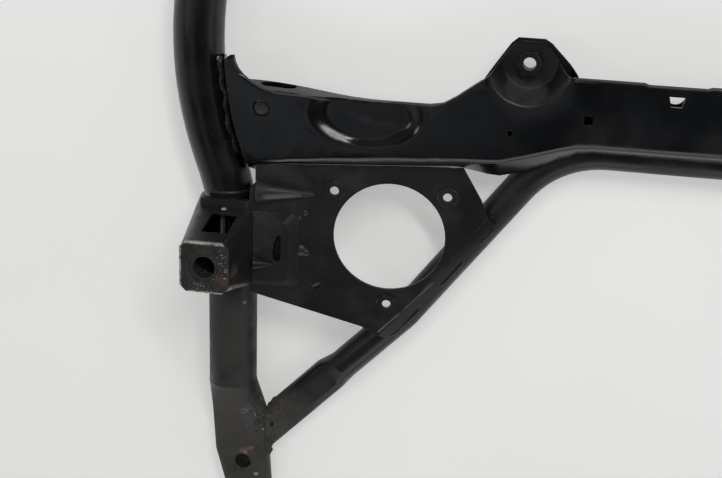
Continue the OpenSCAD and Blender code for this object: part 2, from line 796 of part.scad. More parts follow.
module at_mount() {
  translate([mount_x, mount_y, mount_z]) rotate([0, -mount_tilt, 0]) children();
}
module plate_2d() {
  front_out = plate_out - corner_w;
  step = (front_out - plate_in_x) / 5;
  outline = concat(
    [[plate_edge, -plate_back], by_low(plate_tip + plate_lap, tip_w), by_low(plate_tip, plate_lap)],
    [by_low(0, plate_lap), by_diag(skirt_from, plate_lap), by_diag(skirt_from - corner_l, corner_w)],
    [for (k = [0:5]) [plate_in_x + k * step, plate_front(plate_in_x + k * step)]],
    [[plate_edge - corner_in, plate_front(front_out) - 2], [plate_edge - corner_in, plate_ahead + corner_in]],
    [[plate_edge, plate_ahead]]
  );
  polygon([for (p = outline) [(p[0] - mount_x) / cos(mount_tilt), p[1] - mount_y]]);
}
bolt_angles = [-90, 90 - bolt_spread, 90 + bolt_spread];
module plate() {
  bead_from = (plate_out - mount_x) / cos(mount_tilt) - corner_in;
  cut_h = 2 * bead_r;
  difference() {
    union() {
      at_mount() {
        translate([0, 0, -sheet]) linear_extrude(sheet) plate_2d();
        for (a = bolt_angles)
          rotate([0, 0, a]) translate([bolt_circle / 2, 0, -sheet]) cylinder(d = seat_d, h = sheet + seat_h);
        intersection() {
          translate([bead_from, bead_y - mount_y, 0])
            rotate([0, -90, 0])
              cylinder(r1 = bead_r, r2 = 2, h = bead_len);
          translate([bead_from - bead_len, 0, -sheet]) cube([bead_len, 2 * bead_y, 2 * bead_r]);
        }
      }
      skirt();
      // Flange down the rail's side.
      translate([plate_out, sheet - plate_back, side_z])
        cube([sheet, plate_back + plate_ahead - 2 * sheet, plate_z(plate_out) - sheet / 2 - side_z]);
    }
    at_mount() {
      translate([0, 0, -sheet - 1]) cylinder(d = mount_d, h = cut_h);
      for (a = bolt_angles)
        rotate([0, 0, a]) translate([bolt_circle / 2, 0, -sheet - 1]) cylinder(d = bolt_d, h = cut_h);
      translate([bead_from + 1, bead_y - mount_y, -sheet])
        rotate([0, -90, 0])
          cylinder(r1 = bead_r - 1, r2 = 0.5, h = bead_len - 2);
      translate([key_x, -key_back, -key_depth])
        rotate([0, 0, key_angle])
          translate([-key_l / 2, -key_w / 2, 0])
            cube([key_l, key_w, cut_h]);
    }
  }
}
// Strip of sheet from the plate's edge down onto the crown of the tube.
module skirt() {
  crown = brace_od + gap + sheet;
  up = plate_lap + 3;
  function low(p) = [p[0], p[1], crown];
  function high(p) = [p[0], p[1], plate_z(p[0]) - sheet / 4];
  top = [
    [high(by_low(plate_tip, up)), low(by_low(plate_tip, -plate_lap))],
    [high(by_low(0, up)), low(by_low(0, -plate_lap))],
    [high(by_diag(skirt_from, up)), low(by_diag(skirt_from, -plate_lap))]
  ];
  pressed(top, [for (r = top) [for (p = r) [p[0], p[1], p[2] - sheet]]]);
}

// Tower: drafted box over the rail, its pad on top and the foot pressing beside it.
module drafted(w0, l0, shift, z0, w1, l1, z1, r) {
  hull() {
    for (sx = [1, -1], sy = [1, -1]) {
      translate([sx * (w0 / 2 - r), shift + sy * (l0 / 2 - r), z0]) cylinder(r = r, h = 0.01, $fn = 32);
      translate([sx * (w1 / 2 - r), sy * (l1 / 2 - r), z1 - 0.01]) cylinder(r = r, h = 0.01, $fn = 32);
    }
  }
}
tower_top = tower_h - pad_t;
tower_low = rail_z - 3;
tower_r = 9;
window_in = 4;
window_z = rail_od + 16;
strap_l = 14;
strap_drop = 4;
strap_in = 2;
strap_less = 12;
strap_y = tower_l / 2 - tower_shift - strap_l + strap_in;
module at_tower() {
  translate([rail_x, -pad_back, 0]) children();
}
module tower_body(grow) {
  at_tower()
    drafted(tower_w + 2 * grow, tower_l + 2 * grow, -tower_shift, tower_low + max(-grow, 0), pad_w + 2 * grow,
      pad_l + 2 * grow, tower_top + min(grow, 0), tower_r);
}
module rail_clearance() {
  translate([rail_x, -rail_low_len, rail_z]) tube_run(rail_od / 2 + gap, rail_od, rail_legs);
}
// Space taken by the mount plate and its flange, below the tower's inner side.
module plate_clearance() {
  from = mount_d / 3;
  deep = 2 * rail_od;
  at_mount()
    translate([from, -bolt_circle, gap - deep])
      cube([rail_side - mount_x - from + 2, 2 * bolt_circle, deep]);
}
module tower() {
  difference() {
    union() {
      difference() {
        tower_body(0);
        tower_body(-sheet);
        at_tower() translate([-window_w / 2 - window_in, 0, window_z]) cube([window_w, tower_l, window_h]);
      }
      // Strap over the rail at the foot of the front wall.
      at_tower()
        translate([strap_in - tower_w / 2, strap_y, rail_od - strap_drop])
          cube([tower_w - strap_less, strap_l, strap_drop + sheet]);
    }
    at_tower() translate([0, 0, tower_top - 10]) cylinder(d = bush_od + 2 * gap, h = 20);
    rail_clearance();
    plate_clearance();
  }
}
module pad_2d() {
  w = pad_w / 2;
  l = pad_l / 2;
  c = pad_clip;
  polygon([
    [w - c, -l], [w, c - l], [w, l - c], [w - c, l],
    [c - w, l], [-w, l - c], [-w, c - l], [c - w, -l]
  ]);
}
module pad() {
  at_tower() translate([0, 0, tower_top])
    difference() {
      linear_extrude(pad_t) pad_2d();
      translate([0, 0, -1]) cylinder(d = bush_od + 2 * gap, h = pad_t + 2);
    }
}
module bush() {
  at_tower() translate([0, 0, tower_h - bush_sink - bush_l])
    difference() {
      cylinder(d = bush_od, h = bush_l);
      translate([0, 0, -1]) cylinder(d = bush_bore, h = bush_l + 2);
    }
}
// D shaped hole with its straight side outward.
module foot_hole_2d() {
  scale([foot_hole_w / 2, foot_hole_l / 2])
    polygon([
      [-0.89, -0.83], [-1, 0.83], [-0.55, 1], [0.22, 0.76],
      [0.78, 0.2], [1, -0.41], [0.67, -0.83], [0, -1]
    ]);
}
module foot() {
  tuck = 8;
  splay = 16;
  hole_x = -7;
  hole_y = 4.5;
  mid_x = rail_x - tower_w / 2 - foot_w / 2 + tuck;
  mid_y = -pad_back - 3;
  difference() {
    at_mount()
      translate([(mid_x - mount_x) / cos(mount_tilt), mid_y - mount_y, 0])
        difference() {
          union() {
            drafted(foot_w + splay, foot_l, 0, gap, foot_w, foot_l - splay, foot_h, 8);
            translate([foot_w / 2 - 3, -foot_l / 6, foot_h])
              rotate([0, -90, 0])
                cylinder(r1 = foot_bead_r, r2 = 1, h = foot_bead_l);
          }
          drafted(foot_w + splay - 2 * sheet, foot_l - 2 * sheet, 0, gap - 0.02, foot_w - 2 * sheet,
            foot_l - splay - 2 * sheet, foot_h - sheet, 6);
          translate([hole_x, hole_y, -1]) linear_extrude(foot_h + 2) foot_hole_2d();
        }
    tower_body(gap);
    rail_clearance();
  }
}

// Every piece once, by name.

module right_side(tone) {
  color(tone) translate([0, y_shift, 0]) children();
}
module left_side(tone) {
  color(tone) translate([0, y_shift, 0]) mirror([1, 0, 0]) children();
}

module right_rail() right_side("dimgray") rail();
module left_rail() left_side("dimgray") rail();
module brace() {
  right_side("gray") {
    translate([-brace_mid_half, brace_y, brace_z])
      rotate([0, 0, -90])
        straight(brace_od / 2, brace_wall, 2 * brace_mid_half);
    both() brace_half();
  }
}
module upper_shell() right_side("slategray") upper_pressing();
module lower_shell() right_side("darkslategray") lower_pressing();
module right_plate() right_side("lightslategray") plate();
module left_plate() left_side("lightslategray") plate();
module right_tower() right_side("steelblue") tower();
module left_tower() left_side("steelblue") tower();
module right_foot() right_side("cadetblue") foot();
module left_foot() left_side("cadetblue") foot();
module right_pad() right_side("darkgray") pad();
module left_pad() left_side("darkgray") pad();
module right_bush() right_side("silver") bush();
module left_bush() left_side("silver") bush();
module right_ear_nut() right_side("silver") ear_nut();
module left_ear_nut() left_side("silver") ear_nut();
module right_rear_sleeve() right_side("silver") at_rear_hole() end_sleeve();
module left_rear_sleeve() left_side("silver") at_rear_hole() end_sleeve();
module right_front_sleeve() right_side("silver") at_front_hole() end_sleeve();
module left_front_sleeve() left_side("silver") at_front_hole() end_sleeve();

right_rail();
left_rail();
brace();
upper_shell();
lower_shell();
right_plate();
left_plate();
right_tower();
left_tower();
right_foot();
left_foot();
right_pad();
left_pad();
right_bush();
left_bush();
right_ear_nut();
left_ear_nut();
right_rear_sleeve();
left_rear_sleeve();
right_front_sleeve();
left_front_sleeve();
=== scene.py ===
import math
import random

import bmesh
import bpy
from mathutils import Matrix, Vector
from mathutils.bvhtree import BVHTree


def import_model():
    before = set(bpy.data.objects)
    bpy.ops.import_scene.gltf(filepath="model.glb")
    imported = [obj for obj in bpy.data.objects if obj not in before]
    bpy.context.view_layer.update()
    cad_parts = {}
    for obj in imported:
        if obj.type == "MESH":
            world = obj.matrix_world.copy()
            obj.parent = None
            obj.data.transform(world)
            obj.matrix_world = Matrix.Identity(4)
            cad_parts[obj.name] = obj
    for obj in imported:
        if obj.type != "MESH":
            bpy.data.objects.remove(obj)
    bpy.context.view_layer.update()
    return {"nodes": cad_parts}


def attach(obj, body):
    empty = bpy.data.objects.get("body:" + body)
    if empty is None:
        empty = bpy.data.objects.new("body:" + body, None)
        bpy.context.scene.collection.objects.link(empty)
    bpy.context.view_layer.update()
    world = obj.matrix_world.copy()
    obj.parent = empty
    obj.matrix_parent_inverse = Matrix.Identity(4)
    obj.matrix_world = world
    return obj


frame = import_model()
nodes = frame["nodes"]
scene = bpy.context.scene
scene.view_settings.view_transform = "Standard"
MM = 0.001

# Sizes of the part that the added pieces follow, in mm. The source's y plus Y_SHIFT is the model's y.
Y_SHIFT = -51.7736
RAIL_X = 423.0
HUB_X, HUB_Y, RAIL_IN_R = 107.33, 192.79, 350.0
DIAG, DIAG_ANGLE = (136.386, 66.482), 53.5
LOW, LOW_ANGLE = (248.923, -84.349), 46.5


def rail_axis(y):
    return HUB_X + math.sqrt(RAIL_IN_R ** 2 - (y - HUB_Y) ** 2)


def by_diag(s, off):
    a = math.radians(DIAG_ANGLE)
    return DIAG[0] + s * math.cos(a) + off * math.sin(a), DIAG[1] - s * math.sin(a) + off * math.cos(a)


def by_low(s, off):
    a = math.radians(LOW_ANGLE)
    return LOW[0] + s * math.cos(a) + off * math.sin(a), LOW[1] - s * math.sin(a) + off * math.cos(a)


# Oval dent of the upper shell, model mm: middle, half lengths, share of its flat floor, rise and waves in it.
DENT_AT, DENT_HALF = (285, 83.2264), (57, 33)
DENT_FLOOR, DENT_RISE, DENT_WAVE = 0.68, 5.5, 0.12
# Where its evened shading fades out: share of the oval, upward part of the normal, share towards the front.
DENT_FADE, DENT_FACING, DENT_FRONT = (1.12, 1.05), (0.3, 0.5), (0.5, 0.3)

# Tower pad, model mm: middle, top, and the edges of its face.
PAD_Y, PAD_Z = -57.8, 128
PAD_OUT, PAD_IN, PAD_FRONT, PAD_REAR = 446.8, 401, -32.4, -83


# Node trees

class Tree:
    """A material's node tree with short calls for the nodes used here."""

    def __init__(self, name):
        self.mat = bpy.data.materials.new(name)
        self.mat.use_nodes = True
        self.nt = self.mat.node_tree
        self.nt.nodes.clear()
        out = self.nt.nodes.new("ShaderNodeOutputMaterial")
        self.bsdf = self.nt.nodes.new("ShaderNodeBsdfPrincipled")
        self.nt.links.new(self.bsdf.outputs[0], out.inputs[0])
        self.pos = self.nt.nodes.new("ShaderNodeTexCoord").outputs["Object"]

    def put(self, socket, value):
        if isinstance(value, bpy.types.NodeSocket):
            self.nt.links.new(value, socket)
        else:
            socket.default_value = value

    def noise(self, scale, detail=4.0, rough=0.55, stretch=None, distort=0.0):
        n = self.nt.nodes.new("ShaderNodeTexNoise")
        n.inputs["Scale"].default_value = scale
        n.inputs["Detail"].default_value = detail
        n.inputs["Roughness"].default_value = rough
        n.inputs["Distortion"].default_value = distort
        vec = self.pos
        if stretch:
            m = self.nt.nodes.new("ShaderNodeMapping")
            m.inputs["Rotation"].default_value = stretch[1]
            m.inputs["Scale"].default_value = stretch[0]
            self.nt.links.new(self.pos, m.inputs["Vector"])
            vec = m.outputs["Vector"]
        self.nt.links.new(vec, n.inputs["Vector"])
        return n.outputs["Fac"]

    def cells(self, scale):
        n = self.nt.nodes.new("ShaderNodeTexVoronoi")
        n.inputs["Scale"].default_value = scale
        self.nt.links.new(self.pos, n.inputs["Vector"])
        return n.outputs["Distance"]

    def span(self, value, low, high, to_low=0.0, to_high=1.0):
        n = self.nt.nodes.new("ShaderNodeMapRange")
        n.interpolation_type = "SMOOTHSTEP"
        self.put(n.inputs["Value"], value)
        n.inputs["From Min"].default_value = low
        n.inputs["From Max"].default_value = high
        n.inputs["To Min"].default_value = to_low
        n.inputs["To Max"].default_value = to_high
        return n.outputs["Result"]

    def math(self, op, a, b=0.0):
        n = self.nt.nodes.new("ShaderNodeMath")
        n.operation = op
        self.put(n.inputs[0], a)
        self.put(n.inputs[1], b)
        return n.outputs[0]

    def mix(self, fac, a, b):
        n = self.nt.nodes.new("ShaderNodeMix")
        n.data_type = "RGBA"
        self.put(n.inputs["Factor"], fac)
        self.put(n.inputs[6], a)
        self.put(n.inputs[7], b)
        return n.outputs[2]

    def axis(self, index):
        n = self.nt.nodes.new("ShaderNodeSeparateXYZ")
        self.nt.links.new(self.pos, n.inputs[0])
        return n.outputs[index]

    def facing(self, index):
        g = self.nt.nodes.new("ShaderNodeNewGeometry")
        n = self.nt.nodes.new("ShaderNodeSeparateXYZ")
        self.nt.links.new(g.outputs["Normal"], n.inputs[0])
        return n.outputs[index]

    def spot(self, at, reach, soft=0.5):
        """1 within a place of that reach in mm, falling to 0 at its rim."""
        n = self.nt.nodes.new("ShaderNodeVectorMath")
        n.operation = "DISTANCE"
        self.nt.links.new(self.pos, n.inputs[0])
        n.inputs[1].default_value = [c * MM for c in at]
        return self.span(n.outputs["Value"], reach * soft * MM, reach * MM, 1.0, 0.0)

    def ragged(self, at, reach, grain=260, cut=0.5):
        """A spot broken up by noise, for chips and stains."""
        near = self.spot(at, reach, 0.15)
        rough = self.noise(grain, 5, 0.7)
        return self.span(self.math("MULTIPLY", near, rough), cut * 0.72, cut * 0.9)

    def streak(self, start, end, width):
        """1 along a line between two places in mm, falling to 0 at its width."""
        a, b = Vector(start) * MM, Vector(end) * MM
        along = (b - a).normalized()
        rel = self.nt.nodes.new("ShaderNodeVectorMath")
        rel.operation = "SUBTRACT"
        self.nt.links.new(self.pos, rel.inputs[0])
        rel.inputs[1].default_value = a
        dot = self.nt.nodes.new("ShaderNodeVectorMath")
        dot.operation = "DOT_PRODUCT"
        self.nt.links.new(rel.outputs[0], dot.inputs[0])
        dot.inputs[1].default_value = along
        s = self.math("MAXIMUM", self.math("MINIMUM", dot.outputs["Value"], (b - a).length), 0.0)
        foot = self.nt.nodes.new("ShaderNodeVectorMath")
        foot.operation = "SCALE"
        foot.inputs[0].default_value = along
        self.nt.links.new(s, foot.inputs["Scale"])
        gap = self.nt.nodes.new("ShaderNodeVectorMath")
        gap.operation = "DISTANCE"
        self.nt.links.new(rel.outputs[0], gap.inputs[0])
        self.nt.links.new(foot.outputs[0], gap.inputs[1])
        return self.span(gap.outputs["Value"], width * 0.35 * MM, width * MM, 1.0, 0.0)

    def edge(self, radius):
        """1 along the sharp edges, from the difference between the bevelled and the true normal."""
        b = self.nt.nodes.new("ShaderNodeBevel")
        b.samples = 6
        b.inputs["Radius"].default_value = radius * MM
        g = self.nt.nodes.new("ShaderNodeNewGeometry")
        d = self.nt.nodes.new("ShaderNodeVectorMath")
        d.operation = "DOT_PRODUCT"
        self.nt.links.new(b.outputs[0], d.inputs[0])
        self.nt.links.new(g.outputs["Normal"], d.inputs[1])
        return self.span(d.outputs["Value"], 0.98, 0.8)

    def bump(self, height, strength, distance, normal=None):
        n = self.nt.nodes.new("ShaderNodeBump")
        n.inputs["Strength"].default_value = strength
        n.inputs["Distance"].default_value = distance * MM
        self.nt.links.new(height, n.inputs["Height"])
        if normal:
            self.nt.links.new(normal, n.inputs["Normal"])
        self.nt.links.new(n.outputs[0], self.bsdf.inputs["Normal"])

    def even_dent(self):
        """The normal with the facets of the dent evened out by the oval that it was pressed with."""
        across = self.math("ABSOLUTE", self.axis(0))
        u = self.math("DIVIDE", self.math("SUBTRACT", across, DENT_AT[0] * MM), DENT_HALF[0] * MM)
        v = self.math("DIVIDE", self.math("SUBTRACT", self.axis(1), DENT_AT[1] * MM), DENT_HALF[1] * MM)
        squares = self.math("ADD", self.math("MULTIPLY", u, u), self.math("MULTIPLY", v, v))
        rho = self.math("SQRT", squares)
        wave = self.math("MULTIPLY", self.math("SUBTRACT", self.noise(34, 1, 0.4), 0.5), DENT_WAVE)
        height = self.math("ADD", self.span(rho, DENT_FLOOR, 1.0), wave)
        flat = self.nt.nodes.new("ShaderNodeCombineXYZ")
        flat.inputs[2].default_value = 1.0
        oval = self.nt.nodes.new("ShaderNodeBump")
        oval.inputs["Strength"].default_value = 1.0
        oval.inputs["Distance"].default_value = DENT_RISE * MM
        self.nt.links.new(height, oval.inputs["Height"])
        self.nt.links.new(flat.outputs[0], oval.inputs["Normal"])
        here = self.math("MULTIPLY", self.span(rho, *DENT_FADE), self.span(self.facing(2), *DENT_FACING))
        here = self.math("MULTIPLY", here, self.span(v, *DENT_FRONT))
        plain = self.nt.nodes.new("ShaderNodeNewGeometry")
        chosen = self.nt.nodes.new("ShaderNodeMix")
        chosen.data_type = "VECTOR"
        self.nt.links.new(here, chosen.inputs["Factor"])
        self.nt.links.new(plain.outputs["Normal"], chosen.inputs[4])
        self.nt.links.new(oval.outputs[0], chosen.inputs[5])
        return chosen.outputs[1]


BLACK = (0.0035, 0.0038, 0.0044, 1)
BLACK_COOL = (0.006, 0.0068, 0.008, 1)
# The next colour is the pale film: dust, and on the upper shell also painted light.
DUST_AND_PAINTED_LIGHT = (0.07, 0.068, 0.062, 1)
SOIL = (0.088, 0.08, 0.068, 1)
RUST = (0.085, 0.043, 0.024, 1)
STEEL = (0.33, 0.33, 0.32, 1)
CHIP = (0.5, 0.5, 0.48, 1)
GRIME = (0.02, 0.019, 0.017, 1)
PAD_DARK, PAD_OLIVE = (0.007, 0.0072, 0.006, 1), (0.028, 0.029, 0.023, 1)
PAD_SPECK, PAD_SCUFF = (0.42, 0.43, 0.39, 1), (0.07, 0.07, 0.062, 1)
PAD_RIM, PAD_LINE = (0.55, 0.56, 0.52, 1), (0.5, 0.51, 0.47, 1)


def coat(name, dust=0.25, wear=0.5, rough=0.32, base=1.0, tint=(1, 1, 1), rust=(), spots=(), dust_and_painted_light_spots=(),
         chips=(), streaks=(), dust_and_painted_light_colour=DUST_AND_PAINTED_LIGHT, gloss=0.5, dent=False, dull_spots=(), specks=()):
    """Satin black coating with orange peel, haze, dust, worn edges, and marks at the places given in mm; some
    of the marks are painted highlights, painted reflections and painted shade.
    """
    t = Tree(name)
    low = [c * base * k for c, k in zip(BLACK, tint)] + [1]
    high = [c * base * k for c, k in zip(BLACK_COOL, tint)] + [1]
    tone = t.mix(t.span(t.noise(9, 3), 0.35, 0.7), low, high)
    cloud = t.noise(26, 6, 0.62)
    fine = t.noise(420, 3, 0.6)
    film = t.math("MULTIPLY", t.span(cloud, 0.48, 0.78), t.span(t.facing(2), -0.2, 0.9))
    film = t.math("MULTIPLY", film, dust)
    # These spots lift the film: dust, and on the upper shell also painted light, a lit pocket floor and a lit
    # crescent in the ear dish.
    for at, reach, amount in dust_and_painted_light_spots:
        patch = t.math("MULTIPLY", t.spot(at, reach), t.span(cloud, 0.24, 0.56))
        film = t.math("MAXIMUM", film, t.math("MULTIPLY", patch, amount))
    film = t.math("MULTIPLY", film, t.span(fine, 0.25, 0.7, 0.55, 1.0))
    # The film is mixed towards its colour: dust, and painted light where the spots paint it.
    colour = t.mix(film, tone, dust_and_painted_light_colour)
    scratch = t.noise(70, 2, 0.5, stretch=((30.0, 0.6, 6.0), (0.3, 0.2, 0.7)))
    scratch = t.math("MULTIPLY", t.span(scratch, 0.735, 0.76), t.span(t.noise(14, 2), 0.52, 0.7))
    colour = t.mix(t.math("MULTIPLY", scratch, 0.25), colour, DUST_AND_PAINTED_LIGHT)
    edge = t.math("MULTIPLY", t.edge(0.9), t.span(t.noise(120, 5, 0.7), 0.45, 0.62))
    edge = t.math("MULTIPLY", edge, wear)
    colour = t.mix(edge, colour, STEEL)
    stain = 0.0
    for at, reach in rust:
        patch = t.math("MULTIPLY", t.spot(at, reach, 0.2), t.span(t.noise(160, 6, 0.7), 0.42, 0.6))
        stain = t.math("MAXIMUM", patch, stain)
    if rust:
        colour = t.mix(stain, colour, RUST)
    for at, reach, shade in spots:
        colour = t.mix(t.spot(at, reach, 0.55), colour, shade)
    for start, end, width, shade in streaks:
        line = t.math("MULTIPLY", t.streak(start, end, width), t.span(t.noise(60, 2, 0.5), 0.3, 0.6))
        colour = t.mix(line, colour, shade)
    for at, reach, shade in chips:
        colour = t.mix(t.ragged(at, reach), colour, shade)
    if specks:
        dots = t.math("MULTIPLY", t.span(t.cells(330), 0.3, 0.18), t.span(t.noise(150, 4), 0.5, 0.62))
    for at, reach in specks:
        colour = t.mix(t.math("MULTIPLY", dots, t.spot(at, reach, 0.3)), colour, CHIP)
    t.put(t.bsdf.inputs["Base Color"], colour)
    haze = t.span(t.noise(18, 5, 0.6), 0.3, 0.75, rough - 0.06, rough + 0.12)
    dull = t.math("ADD", haze, t.math("MULTIPLY", film, 0.9))
    for at, reach, amount in dull_spots:
        dull = t.math("ADD", dull, t.math("MULTIPLY", t.spot(at, reach, 0.6), amount))
    if rust:
        dull = t.math("ADD", dull, t.math("MULTIPLY", stain, 0.4))
    t.put(t.bsdf.inputs["Roughness"], t.math("MINIMUM", dull, 0.85))
    t.put(t.bsdf.inputs["Metallic"], t.math("MULTIPLY", edge, 0.8))
    t.bsdf.inputs["Specular IOR Level"].default_value = gloss
    peel = t.math("ADD", t.math("MULTIPLY", t.noise(310, 2), 0.6), t.math("MULTIPLY", t.noise(60, 3), 1.6))
    t.bump(peel, 0.22, 0.25, t.even_dent() if dent else None)
    return t.mat


def worn_coat(name, side):
    """Pad face: grimy olive film, pale specks in arcs beside the hole and chips along the edges."""
    t = Tree(name)
    cloud = t.noise(70, 6, 0.7)
    colour = t.mix(t.span(cloud, 0.38, 0.66), PAD_DARK, PAD_OLIVE)
    middle = (side * RAIL_X, PAD_Y, PAD_Z)
    ring = t.spot(middle, 27, 0.9)
    ring = t.math("MULTIPLY", ring, t.math("SUBTRACT", 1.0, t.spot(middle, 15, 0.9)))
    inner = t.math("MULTIPLY", t.axis(0), -side)
    half = t.span(t.math("ADD", inner, t.math("MULTIPLY", t.axis(1), -0.8)), -0.385, -0.365)
    where = t.math("MULTIPLY", ring, t.math("MAXIMUM", half, 0.12))
    specks = t.span(t.cells(420), 0.34, 0.2)
    specks = t.math("MULTIPLY", specks, t.span(t.noise(130, 4), 0.42, 0.58))
    specks = t.math("MULTIPLY", specks, where)
    colour = t.mix(specks, colour, PAD_SPECK)
    low = t.spot((side * 430, -84, PAD_Z), 16, 0.2)
    colour = t.mix(t.math("MULTIPLY", low, 0.5), colour, PAD_SCUFF)
    rim = t.math("MULTIPLY", t.edge(2.8), t.span(t.noise(170, 5, 0.7), 0.33, 0.5))
    outer = t.math("MULTIPLY", t.axis(0), side)
    worn = t.math("MAXIMUM", t.span(outer, 0.438, 0.444), t.span(t.axis(1), -0.036, -0.031))
    rim = t.math("MULTIPLY", rim, t.math("MAXIMUM", worn, 0.06))
    colour = t.mix(rim, colour, PAD_RIM)
    broken = t.span(t.noise(230, 5, 0.7), 0.4, 0.52)
    edges = (((445, PAD_FRONT), (PAD_IN, PAD_FRONT), 2.8),
             ((PAD_OUT, -37), (PAD_OUT, -79), 2.3),
             ((441, PAD_REAR), (PAD_IN, PAD_REAR), 1.3))
    for start, end, width in edges:
        line = t.streak((side * start[0], start[1], PAD_Z), (side * end[0], end[1], PAD_Z), width)
        colour = t.mix(t.math("MULTIPLY", line, broken), colour, PAD_LINE)
    stain = t.span(t.noise(110, 5, 0.7), 0.46, 0.6)
    stain = t.math("MULTIPLY", stain, t.spot((side * 399, -70, 127), 17, 0.2))
    colour = t.mix(stain, colour, RUST)
    colour = t.mix(t.ragged((side * 400, -82, 126), 6), colour, CHIP)
    t.put(t.bsdf.inputs["Base Color"], colour)
    t.put(t.bsdf.inputs["Roughness"], t.span(cloud, 0.3, 0.7, 0.45, 0.8))
    t.bump(t.math("ADD", cloud, t.math("MULTIPLY", specks, 0.8)), 0.5, 0.7)
    return t.mat


def dull_steel(name, tint, rough=0.5):
    """Bare or thinly coated steel with grime and turning marks."""
    t = Tree(name)
    cloud = t.noise(90, 6, 0.65)
    rings = t.noise(40, 2, 0.5, stretch=((1, 1, 60), (0, 0, 0)))
    colour = t.mix(t.span(cloud, 0.38, 0.68), tint, GRIME)
    colour = t.mix(t.math("MULTIPLY", t.span(t.noise(150, 5, 0.7), 0.6, 0.7), 0.7), colour, RUST)
    t.put(t.bsdf.inputs["Base Color"], colour)
    t.bsdf.inputs["Metallic"].default_value = 0.6
    t.put(t.bsdf.inputs["Roughness"], t.span(cloud, 0.3, 0.7, rough - 0.1, rough + 0.25))
    t.bump(t.math("ADD", cloud, rings), 0.3, 0.3)
    return t.mat


def both(rows):
    """The rows and their mirror images. Each tuple of three numbers in a row is a place."""
    def flip(item):
        is_place = isinstance(item, tuple) and len(item) == 3
        return (-item[0], item[1], item[2]) if is_place else item

    return list(rows) + [tuple(flip(item) for item in row) for row in rows]


coat_shell = coat("coat_shell", dust=0.06, wear=0.75, rough=0.17, dent=True,
                  spots=[((40, 68, 54), 2.2, (0.09, 0.09, 0.09, 1))],
                  dull_spots=both([((-135, 128, 42), 50, 0.24)]),
                  # Painted light among these spots: at (-387, 82, 48) a painted lit floor in the drain
                  # pocket, at (-146, 117, 41) and (-128, 114, 41) a painted sheen on the lower rim of the ear
                  # dish; the spot at (-60, 58, 40) is dust.
                  dust_and_painted_light_spots=both([((-387, 82, 48), 9, 0.9), ((-146, 117, 41), 15, 0.34),
                                   ((-128, 114, 41), 16, 0.38), ((-60, 58, 40), 60, 0.12)]),
                  # These three streaks are painted reflections in the dent: two pale wavy reflection lines
                  # and a faint pinkish reflected band.
                  streaks=both([((-301, 81, 44), (-282, 75, 44), 5, (0.014, 0.0135, 0.013, 1)),
                                ((-282, 75, 44), (-256, 73, 44), 5, (0.015, 0.0145, 0.014, 1)),
                                ((-285, 66, 44), (-262, 67, 44), 9, (0.0085, 0.0072, 0.0068, 1))]))
coat_lower = coat("coat_lower", dust=0.3, wear=0.6, rough=0.44, gloss=0.3)
coat_rail = coat("coat_rail", dust=0.1, wear=0.6, rough=0.27, dust_and_painted_light_colour=SOIL,
                 rust=both([((-401, -60, 60), 14), ((-402, 3, 48), 12)]),
                 dust_and_painted_light_spots=both([((-418, -330, 20), 150, 0.85), ((-436, -170, 40), 80, 0.5)]),
                 specks=both([((-395, -262, 28), 24)]),
                 streaks=both([((-396, -254, 30), (-440, -258, 30), 6, (0.07, 0.064, 0.055, 1)),
                               # The dark streak along the inner flank of the rail is painted shade, darkening
                               # the flank's reflection of the floor.
                               ((-400, -110, 34), (-399, -235, 30), 13, (0.007, 0.007, 0.007, 1)),
                               ((-401, -302, 28), (-414, -307, 28), 3.4, (0.12, 0.085, 0.08, 1))]),
                 chips=both([((-434, 124, 36), 6, CHIP), ((-405.5, -126, 43), 5, (0.2, 0.16, 0.15, 1)),
                             ((-396, -304, 27), 5, STEEL), ((-397, -334, 28), 6, STEEL),
                             ((-434, -330, 28), 5, STEEL), ((-409, -308, 28), 6, (0.2, 0.14, 0.135, 1))]))
coat_brace = coat("coat_brace", dust=0.2, wear=0.5, rough=0.34, base=2.6, dust_and_painted_light_colour=SOIL, gloss=0.36,
                  # This near-black spot is painted shade, standing in for a small dark hole in the brace end.
                  spots=both([((-382.5, -275, 20), 4, (0.002, 0.002, 0.002, 1))]),
                  dust_and_painted_light_spots=both([((-380, -280, 20), 66, 1.0)]))
coat_plate = coat("coat_plate", dust=0.2, wear=0.7, rough=0.4, base=1.9, tint=(1.06, 1.02, 0.92), gloss=0.38,
                  rust=both([((-392, 0, 52), 10)]),
                  dust_and_painted_light_spots=both([((-370, 2, 55), 40, 0.3)]),
                  # These pale streaks are painted highlights: along the lower edge of the slanted pocket,
                  # along the crest of the half-cone bead, and along the edge of the plate's skirt over the
                  # brace.
                  streaks=both([((-338, -101, 48.8), (-328, -95, 48), 1.6, (0.12, 0.12, 0.115, 1)),
                                ((-380, -3, 63), (-346, -1.5, 58), 4.2, (0.1, 0.1, 0.097, 1)),
                                ((-266, -142.5, 44), (-238, -113, 41.6), 1.3, (0.13, 0.13, 0.125, 1)),
                                ((-238, -113, 41.6), (-214, -86, 39), 1.3, (0.1, 0.1, 0.095, 1))]))
coat_foot = coat("coat_foot", dust=0.22, wear=0.4, rough=0.45, base=2.9, tint=(1.15, 1.02, 0.94), dust_and_painted_light_colour=SOIL,
                 gloss=0.25,
                 rust=both([((-394, -62, 62), 12)]),
                 dust_and_painted_light_spots=both([((-384, -38, 63), 26, 0.35)]))
coat_tower = coat("coat_tower", dust=0.16, wear=0.9, rough=0.34, base=2.6, tint=(1.2, 1.0, 0.9),
                  rust=both([((-397, -66, 112), 12), ((-396, -16, 56), 12)]),
                  chips=both([((-423, -21.6, 58), 7, CHIP), ((-401, -82, 117), 8, CHIP)]),
                  # This pale streak is a painted highlight on the lit left flange of the tower.
                  streaks=both([((-449, -24, 66), (-442, -31, 116), 8, (0.075, 0.075, 0.07, 1))]))
